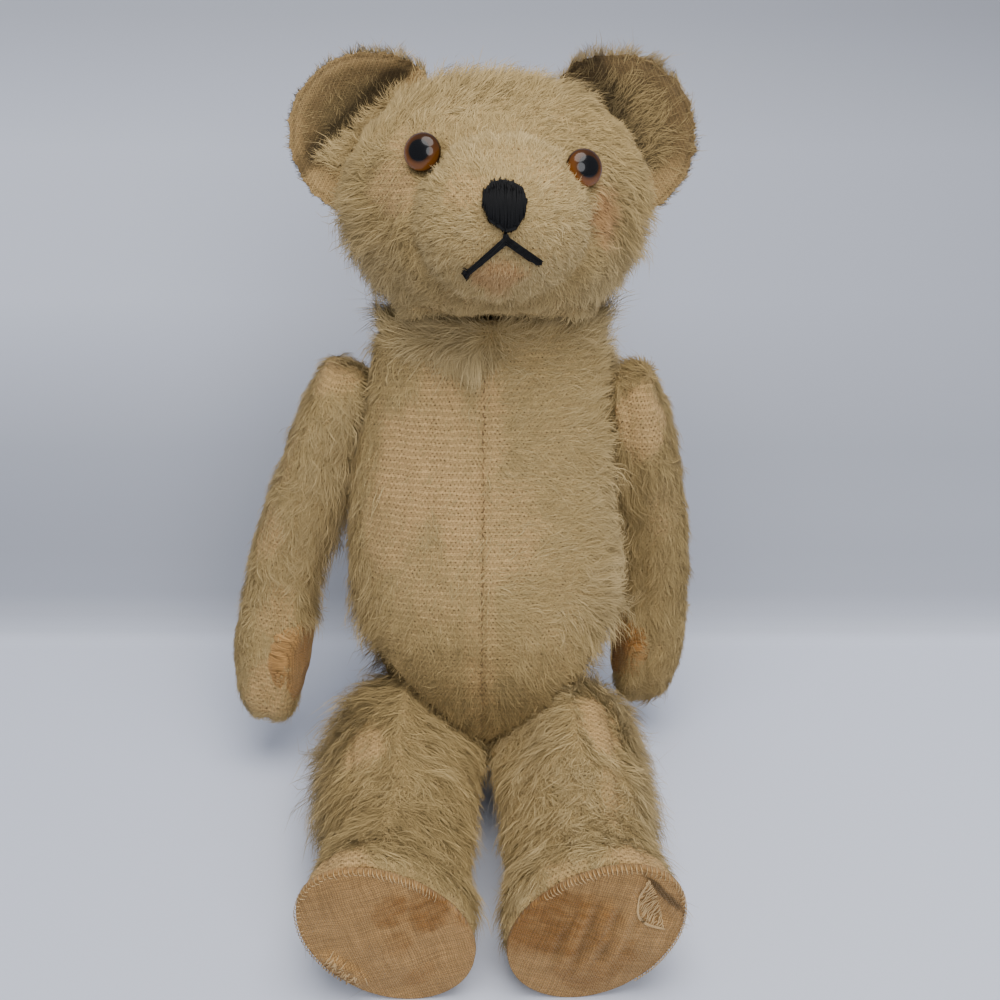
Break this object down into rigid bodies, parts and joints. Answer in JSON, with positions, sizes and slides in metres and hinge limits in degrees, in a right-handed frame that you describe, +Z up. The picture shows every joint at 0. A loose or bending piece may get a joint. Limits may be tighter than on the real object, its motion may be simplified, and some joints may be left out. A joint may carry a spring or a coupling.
{
  "type": "teddy bear",
  "caption": "Seated, fully jointed teddy bear of worn mohair over firm stuffing, with glass eyes, stitched nose and mouth, cupped ears and cloth foot and paw pads.",
  "frame": {"origin": "middle of the seat, the flat underside of the body, on the ground", "axes": "+Z up, the bear faces -Y, its own left is +X"},
  "size_m": [0.1986, 0.2306, 0.3023],
  "materials": {
    "mohair": "worn golden mohair plush, bare to its woven ground in places",
    "stuffing": "packed wood wool",
    "foot_cloth": "plain woven cotton with worn velvet",
    "paw_cloth": "worn brown velvet",
    "black_thread": "waxed embroidery thread in satin stitch",
    "amber_glass": "polished",
    "black_glass": "polished",
    "fibreboard": "pressed fibreboard, matt",
    "steel": "dull wire and washers"
  },
  "bodies": {
    "torso": {"torso_cover": "mohair", "torso_stuffing": "stuffing", "neck_disc_body": "fibreboard", "neck_washer_body": "steel", "left_shoulder_disc_body": "fibreboard", "left_shoulder_washer_body": "steel", "right_shoulder_disc_body": "fibreboard", "right_shoulder_washer_body": "steel", "left_hip_disc_body": "fibreboard", "left_hip_washer_body": "steel", "right_hip_disc_body": "fibreboard", "right_hip_washer_body": "steel"},
    "head": {"head_cover": "mohair", "head_stuffing": "stuffing", "left_ear": "mohair", "left_eye": "amber_glass", "left_eye_pupil": "black_glass", "left_eye_shank": "steel", "right_ear": "mohair", "right_eye": "amber_glass", "right_eye_pupil": "black_glass", "right_eye_shank": "steel", "nose_stitching": "black_thread", "mouth_stitching": "black_thread", "neck_disc_limb": "fibreboard", "neck_washer_limb": "steel", "neck_pin": "steel"},
    "left_arm": {"left_arm_cover": "mohair", "left_arm_stuffing": "stuffing", "left_paw_pad": "paw_cloth", "left_shoulder_disc_limb": "fibreboard", "left_shoulder_washer_limb": "steel", "left_shoulder_pin": "steel"},
    "right_arm": {"right_arm_cover": "mohair", "right_arm_stuffing": "stuffing", "right_paw_pad": "paw_cloth", "right_shoulder_disc_limb": "fibreboard", "right_shoulder_washer_limb": "steel", "right_shoulder_pin": "steel"},
    "left_leg": {"left_leg_cover": "mohair", "left_leg_stuffing": "stuffing", "left_foot_pad": "foot_cloth", "left_hip_disc_limb": "fibreboard", "left_hip_washer_limb": "steel", "left_hip_pin": "steel"},
    "right_leg": {"right_leg_cover": "mohair", "right_leg_stuffing": "stuffing", "right_foot_pad": "foot_cloth", "right_hip_disc_limb": "fibreboard", "right_hip_washer_limb": "steel", "right_hip_pin": "steel"}
  },
  "joints": [
    {"name": "neck", "type": "hinge", "parent": "torso", "child": "head", "pos_m": [0.004, 0.02432, 0.20119], "axis": [0, 0.2588, 0.9659], "continuous": true},
    {"name": "left_shoulder", "type": "hinge", "parent": "torso", "child": "left_arm", "pos_m": [0.053, 0.01126, 0.16017], "axis": [0.9994, 0.009, 0.0337], "range_deg": [-130, 120]},
    {"name": "right_shoulder", "type": "hinge", "parent": "torso", "child": "right_arm", "pos_m": [-0.053, 0.01126, 0.16017], "axis": [0.9744, -0.0582, -0.2173], "range_deg": [-130, 120]},
    {"name": "left_hip", "type": "hinge", "parent": "torso", "child": "left_leg", "pos_m": [0.015, -0.037, 0.049], "axis": [0.6424, 0.0224, -0.766], "range_deg": [-55, 0]},
    {"name": "right_hip", "type": "hinge", "parent": "torso", "child": "right_leg", "pos_m": [-0.015, -0.037, 0.049], "axis": [0.6427, 0.0112, 0.766], "range_deg": [-55, 0]}
  ]
}
